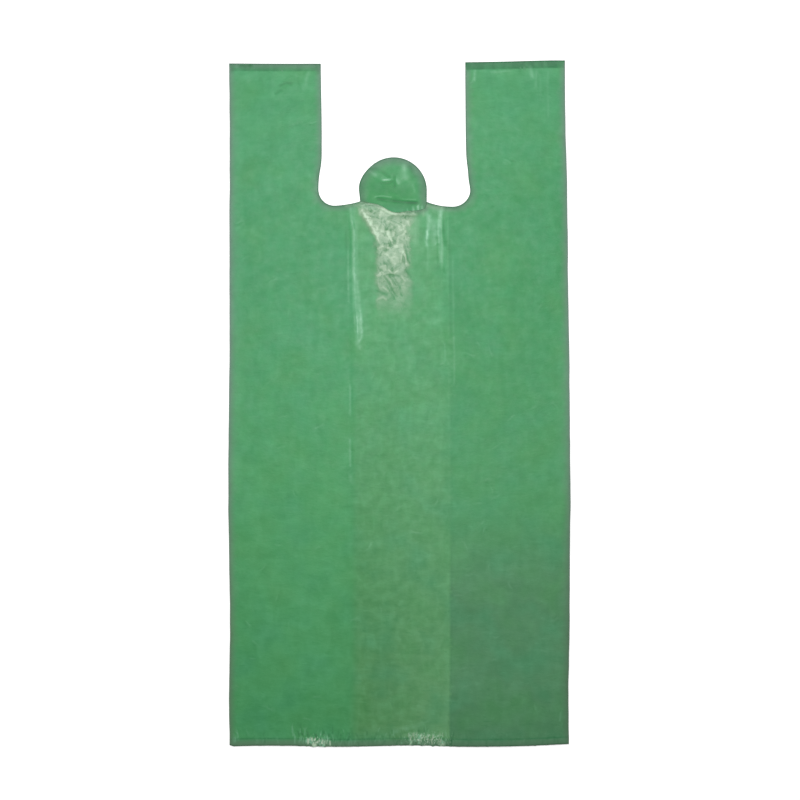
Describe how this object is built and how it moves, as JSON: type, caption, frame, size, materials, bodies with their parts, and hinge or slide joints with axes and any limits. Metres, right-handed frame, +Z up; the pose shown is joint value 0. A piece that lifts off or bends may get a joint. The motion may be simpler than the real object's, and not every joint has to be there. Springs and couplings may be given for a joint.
{
  "type": "plastic carrier bag",
  "caption": "Flat side-gusseted film carrier bag with loop handles beside a punched mouth, a round hanging tab on its back panel, and welded bottom and handle ends.",
  "frame": {"origin": "on the surface that the bag lies on, under the middle of its width and length", "axes": "+X across the bag, +Y along it from the bottom weld to the handles, +Z up through the layers to the front panel"},
  "size_m": [0.3, 0.6, 0.0022],
  "materials": {
    "film": "satin"
  },
  "bodies": {
    "root": {"carrier_bag": "film"}
  },
  "joints": []
}
